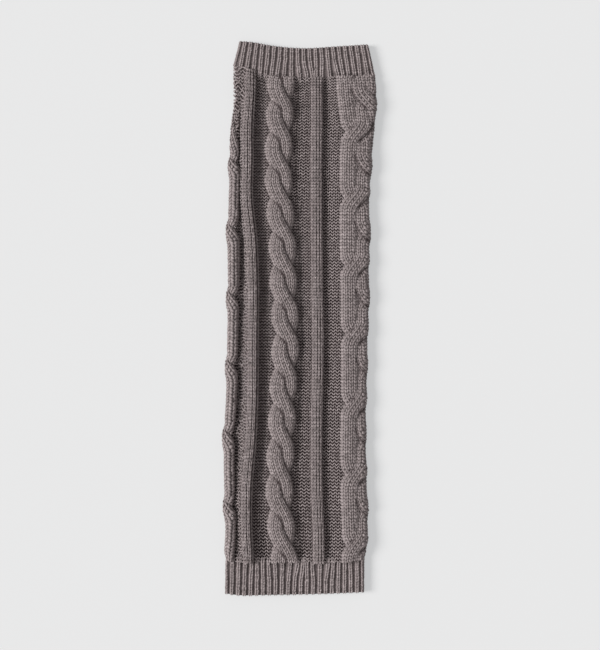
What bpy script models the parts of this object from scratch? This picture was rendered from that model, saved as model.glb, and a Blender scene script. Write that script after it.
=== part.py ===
"""A cable-knit leg warmer, laid flat: a seamless body tube with a cuff in narrow rib at each end.

It lies on its back, with its length along Y, the upper cuff at +Y and its face up. The body is
knitted in reverse stockinette with a rope cable down the middle of the face, a rib on each side
of it and a plait along each fold. Sizes are in millimetres, and the objects are made in metres.
"""

import math

import bmesh
import bpy
import numpy as np

MM = 0.001

# The cloth: two layers that lie on each other, with a thin gap between them.
WALL = 3.0
SLIT = 1.0
LEAST_SLIT = 0.4
FACE = 2 * WALL + SLIT
FOLD_RADIUS = FACE / 2
SEAM_GAP = 0.4

# Wales are counted round the tube from the middle of the rope cable on the face.
WALE = 3.1
ROPE_EDGE = 4.0
RIB_HALF_WALES = 2.0
RIGHT_RIB = 10.0
RIGHT_PLAIT = 23.0
RIGHT_PLAIT_EDGE = 17.0
LEFT_RIB = -10.0
LEFT_PLAIT = -21.5
LEFT_PLAIT_EDGE = -17.0

# The cables cross on the same rows, a little further apart towards the hem.
FIRST_CROSSING = 447.3
CROSSING_PITCH = 29.3
PITCH_GROWTH = 0.25

# A strand of a cable is a rounded cord of cloth. Its lane is where it lies between two
# crossings, and its turn is the share of the pitch that it takes to change lanes. The higher its
# crown, the flatter its top. What it does at one crossing after another is the lane it leaves,
# the lane it takes, and whether it goes over (1), goes under (-1) or stays (0). It is lifted most
# this lead before the crossing. The strands of a cable start steps apart.
ROPE_STEPS = ((-1, 1, 1), (1, -1, -1))
PLAIT_STEPS = ((0, 1, 1), (1, 1, 0), (1, 0, -1), (0, -1, 1), (-1, -1, 0), (-1, 0, -1))
ROPE = {
    "half": 7.2, "lane": 5.0, "turn": 0.95, "height": 4.3, "crown": 2.5, "lift": 1.2, "lead": 0.2,
    "strands": (0, 1), "steps": ROPE_STEPS,
}
PLAIT = {
    "half": 7.9, "lane": 12.0, "turn": 0.75, "height": 2.6, "crown": 3.5, "lift": 0.8, "lead": 0.0,
    "strands": (0, 2, 4), "steps": PLAIT_STEPS,
}
FOLD_PLAIT = {
    "half": 5.2, "lane": 7.4, "turn": 0.85, "height": 3.8, "crown": 2.2, "lift": 1.2, "lead": 0.0,
    "strands": (0, 2, 4), "steps": PLAIT_STEPS,
}
CABLES = ((ROPE, 0.0), (PLAIT, RIGHT_PLAIT), (FOLD_PLAIT, LEFT_PLAIT))
RIB_HEIGHT = 3.0
RIB_CROWN = 2.5

# How far each column of the face reaches from its middle, and how the ground rises and sinks.
ROPE_REACH = 12.0
RIB_REACH = 5.4
RIB_RISE = 0.5
LEFT_RIB_REACH = 4.4
LEFT_RIB_RISE = 3.0
FLAT_RISE_SHARE = 0.4
SLOPE_RISE_SHARE = -0.1
VALLEY_DEPTH = 1.5
VALLEY_ROOM = 1.5
VALLEY_ROOM_WALES = 0.6
BAND_SAG = 1.7
LEFT_BAND_LOW = 0.65
RIGHT_BAND_LOW = 0.25
PLAIT_RISE = 1.2

# Where the columns lie across the face, at heights above the hem. fold_wale is the stitch on
# the left fold, and dip is how far the cloth sinks between the left plait and the left rib.
COLUMNS = (
    "along", "left_fold", "fold_wale", "valley", "dip",
    "left_rib", "rope", "right_rib", "plait", "right_fold",
)
FACE_TABLE = (
    (20, -61.5, -20.0, -55.5, 0.9, -41.0, -8.0, 21.5, 43.5, 61.0),
    (58, -60.5, -20.3, -56.0, 1.2, -44.0, -12.5, 20.5, 43.5, 62.5),
    (94, -62.0, -20.3, -57.0, 1.4, -44.5, -15.0, 18.5, 42.0, 61.5),
    (140, -63.0, -20.3, -56.5, 1.4, -41.5, -14.0, 17.5, 41.0, 59.5),
    (185, -61.5, -20.3, -54.0, 1.4, -40.5, -13.0, 17.5, 41.0, 59.5),
    (230, -61.5, -20.3, -54.0, 1.4, -41.0, -11.5, 17.5, 40.0, 60.0),
    (276, -61.5, -20.3, -54.5, 1.4, -41.5, -14.0, 16.0, 39.0, 60.5),
    (321, -62.5, -20.3, -55.5, 1.4, -44.5, -16.0, 15.0, 37.5, 60.5),
    (358, -62.0, -20.3, -56.5, 1.4, -48.0, -19.0, 14.0, 37.0, 60.0),
    (394, -61.5, -20.0, -56.5, 1.4, -48.0, -20.5, 13.5, 36.5, 61.0),
    (421, -61.0, -18.4, -56.5, 0.9, -48.5, -20.0, 13.5, 37.0, 63.0),
    (448, -62.0, -16.6, -57.5, 0.2, -47.0, -19.5, 13.0, 33.5, 64.5),
    (480, -62.5, -16.2, -58.0, 0.0, -46.5, -19.0, 12.5, 31.0, 63.0),
)

# The places along the face's section, with the number of steps from each to the next.
PLACE_STEPS = {
    "left_top": 4, "valley": 3, "slope": 4, "left_rib_a": 8, "left_rib_b": 3, "left_band": 4,
    "rope_a": 26, "rope_b": 3, "right_band": 4, "right_rib_a": 8, "right_rib_b": 3,
    "plait_band": 4, "plait_a": 14, "right_top": 0,
}
FOLD_STEPS = 10
BACK_STEPS = 24
BODY_ROWS = 210
LINING_ROWS = 12
KEPT_FACES = 0.17

# The cuffs' edges are curves across the face, from the left fold (0) to the right fold (1), as
# heights above the hem. Their sides are where the folds lie.
UPPER_EDGE = ((0, 499.0), (0.1, 498.2), (0.25, 495.4), (0.5, 493.4), (0.75, 495.5), (1, 497.8))
UPPER_JOIN = ((0, 477.2), (0.12, 473.0), (0.25, 468.2), (0.45, 466.8), (0.7, 467.7), (1, 470.1))
LOWER_JOIN = ((0, 30.0), (0.2, 28.6), (0.5, 29.5), (0.7, 29.0), (0.85, 30.6), (1, 33.7))
LOWER_EDGE = ((0, 0.1), (0.1, -1.3), (0.3, -0.7), (0.6, 0.6), (0.8, 1.8), (1, 3.3))
UPPER_EDGE_SIDES = (-58.0, 59.0)
UPPER_JOIN_SIDES = (-63.0, 66.0)
LOWER_JOIN_SIDES = (-63.0, 63.0)
LOWER_EDGE_SIDES = (-63.5, 63.0)

# A cuff's rib has four stations. The first is in the groove beside it, and the others are on top.
CUFF_RIBS = 25
CUFF_RIB_SHARES = (0.0, 0.2, 0.5, 0.8)
CUFF_RIB_DEPTH = 1.4
CUFF_ROWS = 5

# Near a cuff the rows of the body follow its join, and the relief sinks into it. The relief also
# fades out below the middle of a fold, because the underside lies flat.
JOIN_BLEND = 40.0
RELIEF_BLEND = 9.0
RELIEF_AT_JOIN = 0.35
RELIEF_FADE = 0.2

BODY_COLOUR = (0.15, 0.13, 0.125)
CUFF_COLOUR = (0.16, 0.14, 0.135)


def ease(t):
    t = np.clip(t, 0.0, 1.0)
    return t * t * (3 - 2 * t)


def smooth_curve(places, values, at):
    """The values at these places on a smooth curve through the given points."""
    places = np.asarray(places, float)
    values = np.asarray(values, float).reshape(len(places), -1)
    slopes = np.gradient(values, places, axis=0)
    at = np.clip(np.atleast_1d(np.asarray(at, float)), places[0], places[-1])
    i = np.clip(np.searchsorted(places, at, side="right") - 1, 0, len(places) - 2)
    span = (places[i + 1] - places[i])[:, None]
    t = (at - places[i])[:, None] / span
    rise = t * t * (3 - 2 * t)
    bend = slopes[i] * t * (1 - t) ** 2 - slopes[i + 1] * t * t * (1 - t)
    return values[i] * (1 - rise) + values[i + 1] * rise + bend * span


def crossing_number(along):
    """How many crossings lie above this height. It is whole at a crossing."""
    below = FIRST_CROSSING - along
    root = math.sqrt(CROSSING_PITCH**2 + 2 * PITCH_GROWTH * below)
    return (root - CROSSING_PITCH) / PITCH_GROWTH


def cable_relief(cable, across, along):
    """The height of a cable over its ground at places across it: that of the top strand there."""
    number = crossing_number(along)
    crossing = round(number)
    into = number - crossing
    steps = cable["steps"]
    at = float(np.clip(into / cable["turn"] + 0.5, 0, 1))
    relief = np.zeros(len(across))
    for strand in cable["strands"]:
        leaves, takes, over = steps[(crossing - strand) % len(steps)]
        centre = cable["lane"] * (leaves + (takes - leaves) * ease(at))
        ease_slope = 6 * at * (1 - at)
        slant = cable["lane"] * (takes - leaves) * ease_slope / (cable["turn"] * CROSSING_PITCH)
        t = np.abs(across - centre) / (cable["half"] * math.hypot(1, slant))
        lift = cable["lift"] * over * math.cos(math.pi * (into + cable["lead"]))
        height = cable["height"] * np.sqrt(1 - np.minimum(t, 1) ** cable["crown"])
        relief = np.maximum(relief, np.where(t < 1, lift + height, 0.0))
    return relief


def rib_relief(wales):
    t = np.minimum(np.abs(wales) / RIB_HALF_WALES, 1)
    return RIB_HEIGHT * np.sqrt(1 - t**RIB_CROWN)


def column_relief(wale, along):
    """How far the knitting stands out of its ground at these wales, at one height."""
    reliefs = [rib_relief(wale - rib) for rib in (LEFT_RIB, RIGHT_RIB)]
    reliefs += [cable_relief(cable, (wale - middle) * WALE, along) for cable, middle in CABLES]
    return np.maximum.reduce(reliefs)


def band_place(start, end, low):
    """The lowest place of a band of ground between two columns, this share of the way across."""
    wale, x = (a + (b - a) * low for a, b in zip(start[:2], end[:2]))
    return wale, x, FACE - BAND_SAG


def face_places(along):
    """The wale, x and z of each named place on the ground cloth of the face at this height."""
    heights = [row[0] for row in FACE_TABLE]
    at = dict(zip(COLUMNS, smooth_curve(heights, FACE_TABLE, along)[0]))
    left_top = at["left_fold"] + FOLD_RADIUS
    left_top_wale = at["fold_wale"] + math.pi / 2 * FOLD_RADIUS / WALE
    valley_wale = max(LEFT_PLAIT_EDGE, left_top_wale + VALLEY_ROOM_WALES)
    valley = max(at["valley"], left_top + VALLEY_ROOM)
    rise = LEFT_RIB_RISE * (FLAT_RISE_SHARE + (1 - FLAT_RISE_SHARE) * min(at["dip"], 1.0))
    rib_wale = LEFT_RIB - RIB_HALF_WALES
    ridge = at["left_rib"] - LEFT_RIB_REACH
    slope = ((valley_wale + rib_wale) / 2, (valley + ridge) / 2, FACE + rise * SLOPE_RISE_SHARE)
    right_top = at["right_fold"] - FOLD_RADIUS
    right_top_wale = RIGHT_PLAIT_EDGE + (right_top - at["plait"]) / WALE
    places = {
        "left_top": (left_top_wale, left_top, FACE),
        "valley": (valley_wale, valley, FACE - at["dip"] * VALLEY_DEPTH),
        "slope": slope,
        "left_rib_a": (rib_wale, ridge, FACE + rise),
        "left_rib_b": (LEFT_RIB + RIB_HALF_WALES, at["left_rib"] + LEFT_RIB_REACH, FACE),
        "rope_a": (-ROPE_EDGE, at["rope"] - ROPE_REACH, FACE),
        "rope_b": (ROPE_EDGE, at["rope"] + ROPE_REACH, FACE),
        "right_rib_a": (RIGHT_RIB - RIB_HALF_WALES, at["right_rib"] - RIB_REACH, FACE + RIB_RISE),
        "right_rib_b": (RIGHT_RIB + RIB_HALF_WALES, at["right_rib"] + RIB_REACH, FACE),
        "plait_a": (RIGHT_PLAIT_EDGE, at["plait"], FACE + PLAIT_RISE),
        "right_top": (right_top_wale, right_top, FACE),
    }
    places["left_band"] = band_place(places["left_rib_b"], places["rope_a"], LEFT_BAND_LOW)
    places["right_band"] = band_place(places["rope_b"], places["right_rib_a"], RIGHT_BAND_LOW)
    places["plait_band"] = band_place(places["right_rib_b"], places["plait_a"], RIGHT_BAND_LOW)
    return places


def fold(top, side):
    """The stations of a half round fold, from its top down to the underside."""
    wale, x, _ = top
    angle = np.linspace(0, math.pi, FOLD_STEPS + 1)
    return np.stack([
        wale + side * FOLD_RADIUS * angle / WALE,
        x + side * FOLD_RADIUS * np.sin(angle),
        FOLD_RADIUS * (1 + np.cos(angle)),
    ], axis=1)


def closed_ring(over):
    """Stations right round the tube: the given ones over the face, and back underneath."""
    back = np.linspace(over[-1], over[0], BACK_STEPS + 1)[1:-1]
    return np.concatenate([over, back])


def body_ring(along):
    places = face_places(along)
    keys = np.array([places[name] for name in PLACE_STEPS])
    at = np.concatenate([
        np.arange(steps) / steps + number
        for number, steps in enumerate(PLACE_STEPS.values()) if steps
    ])
    face = smooth_curve(np.arange(len(keys)), keys, at)
    left, right = fold(keys[0], -1), fold(keys[-1], 1)
    return closed_ring(np.concatenate([left[:0:-1], face, right]))


def cuff_ring(sides):
    """A cuff's stations. Those in a groove are sunk into the wall, but for the underside."""
    left, right = sides[0] + FOLD_RADIUS, sides[1] - FOLD_RADIUS
    turn = math.pi * FOLD_RADIUS
    length = right - left + 2 * turn
    ring = []
    for rib in range(CUFF_RIBS):
        for share in CUFF_RIB_SHARES:
            at = length * (rib + share) / CUFF_RIBS
            depth = CUFF_RIB_DEPTH if share == 0 and at > 0 else 0.0
            radius = FOLD_RADIUS - depth
            if at < turn:
                angle = math.pi - at / FOLD_RADIUS
                x, z = left - radius * math.sin(angle), FOLD_RADIUS + radius * math.cos(angle)
            elif at > length - turn:
                angle = (at - length + turn) / FOLD_RADIUS
                x, z = right + radius * math.sin(angle), FOLD_RADIUS + radius * math.cos(angle)
            else:
                x, z = left + at - turn, FACE - depth
            ring.append((rib + share, x, z))
    ring.append((CUFF_RIBS, right, 0.0))
    return closed_ring(np.array(ring))


def outward(ring):
    """The unit vectors that point out of the cloth at each station of a ring."""
    run = np.roll(ring[:, 1:], -1, axis=0) - np.roll(ring[:, 1:], 1, axis=0)
    run /= np.linalg.norm(run, axis=1)[:, None]
    return np.stack([-run[:, 1], run[:, 0]], axis=1)


def edge_height(line, sides, ring):
    """The height of a curve above the hem at each station, the same on the face and the back."""
    share = (ring[:, 1] - sides[0]) / (sides[1] - sides[0])
    places, heights = zip(*line)
    return smooth_curve(places, heights, share)[:, 0]


def lining(ring):
    """The inside of the cloth, one wall in from the ground, or less where the face sinks."""
    left = ring[:, 1].min() + FOLD_RADIUS
    right = ring[:, 1].max() - FOLD_RADIUS
    inner = ring.copy()
    for station, (_, x, z) in zip(inner, ring):
        centre = min(max(x, left), right)
        if x != centre:
            station[1] = centre + (x - centre) * SLIT / FACE
            station[2] = FOLD_RADIUS + (z - FOLD_RADIUS) * SLIT / FACE
        else:
            station[2] = max(z - WALL, WALL + LEAST_SLIT) if z > FOLD_RADIUS else WALL
    return inner


def tube(name, outer_rows, inner_rows, colour):
    """A closed wall from rings of points: the outside, the inside and the two open ends."""
    mesh = bmesh.new()
    outer = [[mesh.verts.new(point * MM) for point in row] for row in outer_rows]
    inner = [[mesh.verts.new(point * MM) for point in row] for row in inner_rows]
    for rows in (outer, inner[::-1], [outer[-1], inner[-1]], [inner[0], outer[0]]):
        for low, high in zip(rows, rows[1:]):
            for i in range(len(low)):
                j = (i + 1) % len(low)
                mesh.faces.new((low[i], low[j], high[j], high[i]))
    data = bpy.data.meshes.new(name)
    mesh.to_mesh(data)
    mesh.free()
    data.shade_smooth()
    data.materials.append(yarn(f"{name}_yarn", colour))
    piece = bpy.data.objects.new(name, data)
    bpy.context.collection.objects.link(piece)
    return piece


def yarn(name, colour):
    material = bpy.data.materials.new(name)
    material.use_nodes = True
    shader = material.node_tree.nodes["Principled BSDF"]
    shader.inputs["Base Color"].default_value = (*colour, 1.0)
    shader.inputs["Roughness"].default_value = 0.95
    shader.inputs["Metallic"].default_value = 0.0
    return material


def row_points(ring, heights):
    return np.stack([ring[:, 1], heights, ring[:, 2]], axis=1)


def body_rows(count, lined):
    """Rings of the body from the lower join to the upper one: its outside, or its lining."""
    bottom = edge_height(LOWER_JOIN, LOWER_JOIN_SIDES, body_ring(LOWER_JOIN[0][1])) + SEAM_GAP
    top = edge_height(UPPER_JOIN, UPPER_JOIN_SIDES, body_ring(UPPER_JOIN[-1][1])) - SEAM_GAP
    low, high = bottom.mean(), top.mean()
    rows = []
    for along in np.linspace(low, high, count + 1):
        ring = body_ring(along)
        lower = ease((low + JOIN_BLEND - along) / JOIN_BLEND)
        upper = ease((along - high + JOIN_BLEND) / JOIN_BLEND)
        heights = along + (bottom - low) * lower + (top - high) * upper
        if lined:
            ring = lining(ring)
        else:
            near = min(along - low, high - along) / RELIEF_BLEND
            share = RELIEF_AT_JOIN + (1 - RELIEF_AT_JOIN) * ease(near)
            share = share * ease(ring[:, 2] / FOLD_RADIUS - RELIEF_FADE)
            ring[:, 1:] += outward(ring) * (column_relief(ring[:, 0], along) * share)[:, None]
        rows.append(row_points(ring, heights))
    return rows


def cuff_rows(lower, lower_sides, upper, upper_sides, count, lined):
    """Rings of a cuff from its lower curve to its upper one: its outside, or its lining."""
    rows = []
    for share in np.linspace(0, 1, count + 1):
        sides = [low + (high - low) * share for low, high in zip(lower_sides, upper_sides)]
        ring = cuff_ring(sides)
        low, high = edge_height(lower, sides, ring), edge_height(upper, sides, ring)
        rows.append(row_points(lining(ring) if lined else ring, low * (1 - share) + high * share))
    return rows


def body():
    """The cabled tube. Its rows are closer than its form needs, so that the relief is placed well.
    A Decimate then thins them, apart from the rings at the two ends, which fit the cuffs."""
    outside, inside = body_rows(BODY_ROWS, False), body_rows(LINING_ROWS, True)
    leg = tube("leg_tube", outside, inside, BODY_COLOUR)
    across = len(outside[0])
    inner_start = across * len(outside)
    end_rings = (0, inner_start - across, inner_start, inner_start + across * (len(inside) - 1))
    ends = leg.vertex_groups.new(name="ends")
    for start in end_rings:
        ends.add(list(range(start, start + across)), 1.0, "REPLACE")
    thin = leg.modifiers.new("fewer_faces", "DECIMATE")
    thin.ratio = KEPT_FACES
    thin.vertex_group = ends.name
    thin.invert_vertex_group = True


def cuff(name, lower, lower_sides, upper, upper_sides):
    """A welt in narrow rib, open at its free edge and against the body."""
    outside = cuff_rows(lower, lower_sides, upper, upper_sides, CUFF_ROWS, False)
    inside = cuff_rows(lower, lower_sides, upper, upper_sides, 1, True)
    tube(name, outside, inside, CUFF_COLOUR)


for old in list(bpy.data.objects):
    bpy.data.objects.remove(old, do_unlink=True)

body()
cuff("upper_cuff", UPPER_JOIN, UPPER_JOIN_SIDES, UPPER_EDGE, UPPER_EDGE_SIDES)
cuff("lower_cuff", LOWER_EDGE, LOWER_EDGE_SIDES, LOWER_JOIN, LOWER_JOIN_SIDES)

corners = np.array([
    vertex.co for piece in bpy.data.objects for vertex in piece.data.vertices
])
middle = (corners.min(axis=0) + corners.max(axis=0)) / 2
for piece in bpy.data.objects:
    piece.location = (-middle[0], -middle[1], 0.0)
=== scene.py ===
import math

import bmesh
import bpy
import numpy as np
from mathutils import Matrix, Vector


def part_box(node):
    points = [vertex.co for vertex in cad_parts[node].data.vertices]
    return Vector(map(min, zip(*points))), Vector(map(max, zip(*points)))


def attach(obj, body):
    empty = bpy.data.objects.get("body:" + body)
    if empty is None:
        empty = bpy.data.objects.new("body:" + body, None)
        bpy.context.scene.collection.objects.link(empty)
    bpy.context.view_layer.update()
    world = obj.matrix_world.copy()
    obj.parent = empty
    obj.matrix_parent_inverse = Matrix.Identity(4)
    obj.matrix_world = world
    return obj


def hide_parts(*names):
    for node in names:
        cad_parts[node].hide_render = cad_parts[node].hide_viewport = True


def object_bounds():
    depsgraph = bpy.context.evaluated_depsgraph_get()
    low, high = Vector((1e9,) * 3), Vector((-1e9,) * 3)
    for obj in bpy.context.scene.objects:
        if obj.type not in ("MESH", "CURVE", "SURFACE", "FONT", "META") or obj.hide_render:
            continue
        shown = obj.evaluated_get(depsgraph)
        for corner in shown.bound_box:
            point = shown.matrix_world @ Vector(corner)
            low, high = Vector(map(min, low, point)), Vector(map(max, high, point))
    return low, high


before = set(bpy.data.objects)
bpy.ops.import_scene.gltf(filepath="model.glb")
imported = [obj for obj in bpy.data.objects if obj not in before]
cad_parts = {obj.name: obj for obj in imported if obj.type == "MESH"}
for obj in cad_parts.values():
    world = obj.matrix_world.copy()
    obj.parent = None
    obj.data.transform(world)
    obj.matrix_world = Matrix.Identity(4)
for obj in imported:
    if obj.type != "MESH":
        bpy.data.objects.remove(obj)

cad_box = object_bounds()

# ---------------------------------------------------------------------------------------------
# The cloth of the body: one seamless tube of worsted yarn, knitted in the round in reverse
# stockinette and laid flat, so that it has a face, two soft folds and an underside.
# Garment sizes are in millimetres: x across, along from the hem up, and z from the floor.
# ---------------------------------------------------------------------------------------------

MM = 0.001
WALL = 3.0
SLIT = 1.0
LEAST_SLIT = 0.4
FACE = 2 * WALL + SLIT
FOLD_RADIUS = FACE / 2
WALE = 3.1
WALES_ROUND = 92
FOLD_WALES = math.pi * FOLD_RADIUS / 2 / WALE

# The cables cross on the same rows, a little further apart towards the hem.
FIRST_CROSSING = 447.3
CROSSING_PITCH = 29.3
PITCH_GROWTH = 0.25

# The wales, counted from the middle of the rope on the face. The same columns follow on the
# underside, so the second rope lies half way round.
ROPE_EDGE = 4.0
RIB_WALES = ((-12.0, -8.0), (8.0, 12.0), (34.0, 38.0), (54.0, 58.0))
ROPE_MIDDLES = (0.0, 46.0)
RIGHT_PLAIT_MIDDLE = 23.0
LEFT_PLAIT_MIDDLE = -21.5
VALLEY_WALE = -17.0
CREST_WALE = -9.4
PLAIT_TOP_WALE = 17.0

# How far each column of the ground reaches to the sides of its middle, how far the ground rises
# above the plain face there, and how far it sags and sinks between the columns. BAND_LOWS is
# where the bands are lowest, as shares of their widths.
RIB_REACH = 5.4
ROPE_REACH = 12.0
LEFT_RIB_REACH = 4.8
LEFT_RIB_RISE = 3.0
LEAST_RISE_SHARE = 0.4
CREST_RISE_SHARE = 0.95
SLOPE_RISE_SHARE = -0.1
RIB_RISE = 0.5
PLAIT_RISE = 3.2
BAND_SAG = 1.7
BAND_LOWS = (0.85, 0.25, 0.25)
VALLEY_DEPTH = 1.5
VALLEY_GAP = 1.5
VALLEY_GAP_WALES = 0.6
DEEPEST = 2.1

# The underside starts at this share of the height of the folds' middles. It is sunk so far, and
# its cables and ribs keep this share of their height.
BACK_BELOW = 0.2
BACK_SINK = 2.5
BACK_RELIEF = 0.8

# Where the columns lie across the face, at heights above the hem. fold_wale is the stitch on
# the left fold, and dip is how far the cloth sinks between the left plait and the left rib.
COLUMNS = (
    "along", "left_fold", "fold_wale", "valley", "dip",
    "left_rib", "rope", "right_rib", "plait", "right_fold",
)
FACE_TABLE = (
    (20, -61.5, -20.0, -55.5, 0.9, -41.0, -8.0, 21.5, 43.5, 61.0),
    (58, -60.5, -20.3, -56.0, 1.2, -44.0, -12.5, 20.5, 43.5, 62.5),
    (94, -62.0, -20.3, -57.0, 1.4, -44.5, -15.0, 18.5, 42.0, 61.5),
    (140, -63.0, -20.3, -56.5, 1.4, -41.5, -14.0, 17.5, 41.0, 59.5),
    (185, -61.5, -20.3, -54.0, 1.4, -40.5, -13.0, 17.5, 41.0, 59.5),
    (230, -61.5, -20.3, -54.0, 1.4, -41.0, -11.5, 17.5, 40.0, 60.0),
    (276, -61.5, -20.3, -53.4, 2.3, -41.3, -14.0, 16.0, 39.0, 60.5),
    (321, -62.5, -20.3, -53.4, 2.6, -43.7, -16.0, 15.0, 37.5, 60.5),
    (358, -62.0, -20.3, -56.5, 1.4, -48.0, -19.0, 14.0, 37.0, 60.0),
    (394, -61.5, -20.0, -56.5, 1.4, -48.0, -20.5, 13.5, 36.5, 61.0),
    (421, -61.0, -18.4, -56.5, 0.9, -48.5, -20.0, 13.5, 37.0, 63.0),
    (448, -62.0, -16.6, -57.5, 0.2, -47.0, -19.5, 13.0, 33.5, 64.5),
    (480, -62.5, -16.2, -58.0, 0.0, -46.5, -19.0, 12.5, 31.0, 63.0),
)

# The joins to the cuffs are curves across the face, from the left fold (0) to the right (1).
# They are read on the chart of the cloth, JOIN_ROW rows in from its ends. The courses bend to
# them over JOIN_BLEND, and the relief falls to RELIEF_AT_JOIN over RELIEF_BLEND.
UPPER_JOIN = ((0, 477.2), (0.12, 473.0), (0.25, 468.2), (0.45, 466.8), (0.7, 467.7), (1, 470.1))
LOWER_JOIN = ((0, 30.0), (0.2, 28.6), (0.5, 29.5), (0.7, 29.0), (0.85, 30.6), (1, 33.7))
UPPER_JOIN_SIDES = (-63.0, 66.0)
LOWER_JOIN_SIDES = (-63.0, 63.0)
JOIN_BLEND = 40.0
JOIN_ROW = 5
RELIEF_BLEND = 9.0
RELIEF_AT_JOIN = 0.35
CHART_HEIGHTS = (22.0, 480.0)
ROW_STEP = 1.5
WALE_STEP = 0.25
STATION_STEPS = 8
FOLD_STEPS = 24


def ease(t):
    """From 0 to 1 with a soft start and a soft end."""
    t = np.clip(t, 0.0, 1.0)
    return t * t * (3 - 2 * t)


def smooth_curve(places, values, at):
    """The values at these places on a smooth curve through the given points."""
    places = np.asarray(places, float)
    values = np.asarray(values, float).reshape(len(places), -1)
    slopes = np.gradient(values, places, axis=0)
    at = np.clip(np.atleast_1d(np.asarray(at, float)), places[0], places[-1])
    i = np.clip(np.searchsorted(places, at, side="right") - 1, 0, len(places) - 2)
    span = (places[i + 1] - places[i])[:, None]
    t = (at - places[i])[:, None] / span
    rise = t * t * (3 - 2 * t)
    bend = slopes[i] * t * (1 - t) ** 2 - slopes[i + 1] * t * t * (1 - t)
    return values[i] * (1 - rise) + values[i + 1] * rise + bend * span


def face_stations(along):
    """The wale, x and z of the ground from the left fold's top to the right fold's top."""
    heights = [row[0] for row in FACE_TABLE]
    at = dict(zip(COLUMNS, smooth_curve(heights, FACE_TABLE, along)[0]))
    (left_outer, left_inner), (right_inner, right_outer) = RIB_WALES[:2]
    left_top = at["left_fold"] + FOLD_RADIUS
    right_top = at["right_fold"] - FOLD_RADIUS
    left_wale = at["fold_wale"] + FOLD_WALES
    valley_wale = max(VALLEY_WALE, left_wale + VALLEY_GAP_WALES)
    valley = max(at["valley"], left_top + VALLEY_GAP)
    rise = LEFT_RIB_RISE * (LEAST_RISE_SHARE + (1 - LEAST_RISE_SHARE) * min(at["dip"], 1.0))
    sink = at["dip"] * VALLEY_DEPTH
    ridge = at["left_rib"] - LEFT_RIB_REACH
    crest = ridge + 2 * LEFT_RIB_REACH * (CREST_WALE - left_outer) / (left_inner - left_outer)
    slope = FACE + rise * SLOPE_RISE_SHARE - max(sink - DEEPEST, 0)
    columns = [
        (left_inner, at["left_rib"] + LEFT_RIB_REACH, FACE),
        (-ROPE_EDGE, at["rope"] - ROPE_REACH, FACE),
        (ROPE_EDGE, at["rope"] + ROPE_REACH, FACE),
        (right_inner, at["right_rib"] - RIB_REACH, FACE + RIB_RISE),
        (right_outer, at["right_rib"] + RIB_REACH, FACE),
        (PLAIT_TOP_WALE, at["plait"], FACE + PLAIT_RISE),
    ]
    bands = [
        (a[0] + (b[0] - a[0]) * low, a[1] + (b[1] - a[1]) * low, FACE - BAND_SAG)
        for a, b, low in zip(columns[::2], columns[1::2], BAND_LOWS)
    ]
    return np.array([
        (left_wale, left_top, FACE),
        (valley_wale, valley, FACE - min(sink, DEEPEST)),
        ((valley_wale + left_outer) / 2, (valley + ridge) / 2, slope),
        (left_outer, ridge, FACE + rise),
        (CREST_WALE, crest, FACE + rise * CREST_RISE_SHARE),
        columns[0], bands[0], *columns[1:3], bands[1], *columns[3:5], bands[2], columns[5],
        (PLAIT_TOP_WALE + (right_top - at["plait"]) / WALE, right_top, FACE),
    ])


def round_section(along):
    """Stations right round the tube: up the left fold, over the face and down the right fold."""
    keys = face_stations(along)
    steps = np.linspace(0, len(keys) - 1, STATION_STEPS * len(keys))
    face = smooth_curve(np.arange(len(keys)), keys, steps)
    face[:, 2] = np.maximum(face[:, 2], FACE - DEEPEST)
    angle = np.linspace(0, math.pi, FOLD_STEPS + 1)
    ends = []
    for (wale, x, _), side in ((keys[0], -1), (keys[-1], 1)):
        ends.append(np.stack([
            wale + side * FOLD_RADIUS * angle / WALE,
            x + side * FOLD_RADIUS * np.sin(angle),
            FOLD_RADIUS * (1 + np.cos(angle)),
        ], axis=1))
    return np.concatenate([ends[0][::-1], face[1:-1], ends[1]])


def edge_height(line, sides, x):
    """The height of a curve across the face at these places across."""
    share = (x - sides[0]) / (sides[1] - sides[0])
    places, heights = zip(*line)
    return smooth_curve(places, heights, share)[:, 0]


def cloth_chart():
    """The ground of the body on an even grid of heights and wales: x, height, z, and the x and z
    of the unit vector that points out of the cloth."""
    heights = np.arange(*CHART_HEIGHTS, ROW_STEP)
    wales = np.arange(0, WALES_ROUND, WALE_STEP)
    chart = np.zeros((len(heights), len(wales), 5))
    for row, along in zip(chart, heights):
        ring = round_section(along)
        for column, values in ((0, ring[:, 1]), (2, ring[:, 2])):
            row[:, column] = np.interp(wales, ring[:, 0], values, period=WALES_ROUND)
    run = np.roll(chart, -1, axis=1) - np.roll(chart, 1, axis=1)
    length = np.hypot(run[..., 0], run[..., 2])
    chart[..., 3], chart[..., 4] = -run[..., 2] / length, run[..., 0] / length
    low = edge_height(LOWER_JOIN, LOWER_JOIN_SIDES, chart[JOIN_ROW, :, 0])
    high = edge_height(UPPER_JOIN, UPPER_JOIN_SIDES, chart[-1 - JOIN_ROW, :, 0])
    lower = ease((low.mean() + JOIN_BLEND - heights) / JOIN_BLEND)[:, None]
    upper = ease((heights - high.mean() + JOIN_BLEND) / JOIN_BLEND)[:, None]
    chart[..., 1] = heights[:, None] + (low - low.mean()) * lower + (high - high.mean()) * upper
    return heights, chart, low.mean(), high.mean()


HEIGHTS, CLOTH, BODY_LOW, BODY_HIGH = cloth_chart()
HEM_LEFT = -63.5
HEM_LOW = -1.3
X_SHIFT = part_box("lower_cuff")[0].x / MM - HEM_LEFT
Y_SHIFT = cad_box[0].y / MM - HEM_LOW


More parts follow.
